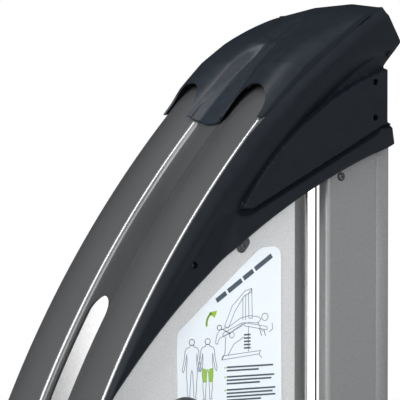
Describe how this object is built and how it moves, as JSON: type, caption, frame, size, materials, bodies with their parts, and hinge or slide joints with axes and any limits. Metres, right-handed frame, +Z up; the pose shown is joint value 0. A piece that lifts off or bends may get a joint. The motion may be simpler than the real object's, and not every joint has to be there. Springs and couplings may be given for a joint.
{
  "type": "lying leg curl machine",
  "caption": "Prone leg curl machine: a curved twin-tube weight tower, a bent bench and a padded roller lever whose cam lifts the weight stack by cable.",
  "frame": {"origin": "floor level, centre of the footprint", "axes": "+X from the roller end towards the head end, +Y from the bench towards the weight tower, +Z up"},
  "size_m": [1.6544, 0.947, 1.4895],
  "materials": {
    "silver_enamel": "silver metallic powder coat",
    "grey_metallic": "metallic grey powder coat",
    "black_moulding": "fine-grained black moulded plastic",
    "black_enamel": "satin black powder coat",
    "iron": "black enamelled iron",
    "chrome": "polished",
    "steel": "zinc plated",
    "vinyl": "black upholstery vinyl",
    "rubber": "matt",
    "cable_jacket": "black nylon jacket",
    "pulley_nylon": "black nylon",
    "placard_print": "printed sheet, satin",
    "ply": "black-stained plywood"
  },
  "bodies": {
    "tower_and_bench": {"tower_tube_near": "grey_metallic", "tower_tube_far": "grey_metallic", "tower_web": "grey_metallic", "side_panel_near": "silver_enamel", "side_panel_far": "silver_enamel", "rear_panel_near": "silver_enamel", "rear_panel_far": "silver_enamel", "placard": "placard_print", "wing_cover_near": "black_moulding", "wing_cover_far": "black_moulding", "cap_cover": "black_moulding", "tower_screws": "steel", "tower_base": "black_enamel", "tube_boots": "black_moulding", "top_plate": "black_enamel", "base_pulley_brackets": "black_enamel", "resting_plates": "iron", "guide_rods": "chrome", "stack_bumpers": "rubber", "stack_cables": "cable_jacket", "return_cables": "cable_jacket", "lower_cables": "cable_jacket", "pulley_cables": "cable_jacket", "lever_post": "grey_metallic", "thigh_pad": "vinyl", "chest_pad": "vinyl", "pad_boards": "ply", "bench_spine": "grey_metallic", "front_leg": "grey_metallic", "leg_foot": "black_moulding", "arch_tube": "grey_metallic", "rear_upright": "grey_metallic", "base_rail": "grey_metallic", "head_bar": "grey_metallic", "cross_bars": "grey_metallic", "grab_post": "grey_metallic", "post_cap": "black_moulding", "cable_guard": "black_enamel", "handles": "chrome", "handle_grips": "rubber", "rubber_feet": "rubber"},
    "cam_shaft": {"lever_axle": "chrome", "cam": "grey_metallic", "start_disc": "grey_metallic", "cam_cables": "cable_jacket"},
    "lever": {"lever_arm": "grey_metallic", "counterweight": "iron"},
    "carriage": {"roller_carriage": "grey_metallic", "roller_axle": "chrome"},
    "carriage_knob": {"carriage_knob": "black_moulding"},
    "start_pin": {"start_pin": "chrome"},
    "roller_far": {"roller_pad_far": "vinyl"},
    "roller_near": {"roller_pad_near": "vinyl"},
    "stack": {"lifted_plates": "iron", "head_plate": "iron", "selector_stem": "chrome"},
    "selector_pin": {"selector_pin": "steel"},
    "top_pulley": {"top_pulley": "pulley_nylon"},
    "base_pulley_rear": {"base_pulley_rear": "pulley_nylon"},
    "base_pulley_front": {"base_pulley_front": "pulley_nylon"}
  },
  "joints": [
    {"name": "lever_swing", "type": "hinge", "parent": "tower_and_bench", "child": "cam_shaft", "pos_m": [-0.3888, 0.09805, 0.56], "axis": [0, 1, 0], "range_deg": [0, 100]},
    {"name": "start_adjust", "type": "hinge", "parent": "cam_shaft", "child": "lever", "pos_m": [-0.3888, -0.00495, 0.56], "axis": [0, 1, 0], "range_deg": [0, 30]},
    {"name": "start_pin_push", "type": "slide", "parent": "lever", "child": "start_pin", "axis": [0, 1, 0], "range_m": [0, 0.0062]},
    {"name": "carriage_slide", "type": "slide", "parent": "lever", "child": "carriage", "axis": [-0.9336, 0, 0.3584], "range_m": [-0.05, 0.008]},
    {"name": "carriage_knob_turn", "type": "hinge", "parent": "carriage", "child": "carriage_knob", "pos_m": [-0.76223, -0.00495, 0.70335], "axis": [0.3584, 0, 0.9336], "continuous": true},
    {"name": "roller_far_spin", "type": "hinge", "parent": "carriage", "child": "roller_far", "pos_m": [-0.76223, -0.13195, 0.70335], "axis": [0, 1, 0], "continuous": true},
    {"name": "roller_near_spin", "type": "hinge", "parent": "carriage", "child": "roller_near", "pos_m": [-0.76223, -0.31195, 0.70335], "axis": [0, 1, 0], "continuous": true},
    {"name": "stack_lift", "type": "slide", "parent": "tower_and_bench", "child": "stack", "axis": [0, 0, 1], "range_m": [0, 0.212], "deforming": ["stack_cables"]},
    {"name": "selector_pin_pull", "type": "slide", "parent": "stack", "child": "selector_pin", "axis": [0, -1, 0], "range_m": [0, 0.075]},
    {"name": "top_pulley_spin", "type": "hinge", "parent": "tower_and_bench", "child": "top_pulley", "pos_m": [0.4182, 0.28555, 1.345], "axis": [0.8881, 0.4597, 0], "range_deg": [-5, 260]},
    {"name": "base_pulley_rear_spin", "type": "hinge", "parent": "tower_and_bench", "child": "base_pulley_rear", "pos_m": [0.39275, 0.2358, 0.148], "axis": [0.151, -0.9885, 0], "range_deg": [-260, 5]},
    {"name": "base_pulley_front_spin", "type": "hinge", "parent": "tower_and_bench", "child": "base_pulley_front", "pos_m": [-0.46135, 0.1053, 0.148], "axis": [0.151, -0.9885, 0], "range_deg": [-260, 5]}
  ],
  "couplings": [
    {"joint": "stack_lift", "follows": "lever_swing", "m_per_rad": 0.12},
    {"joint": "top_pulley_spin", "follows": "lever_swing", "ratio": 2.5},
    {"joint": "base_pulley_rear_spin", "follows": "lever_swing", "ratio": -2.5},
    {"joint": "base_pulley_front_spin", "follows": "lever_swing", "ratio": -2.5}
  ]
}
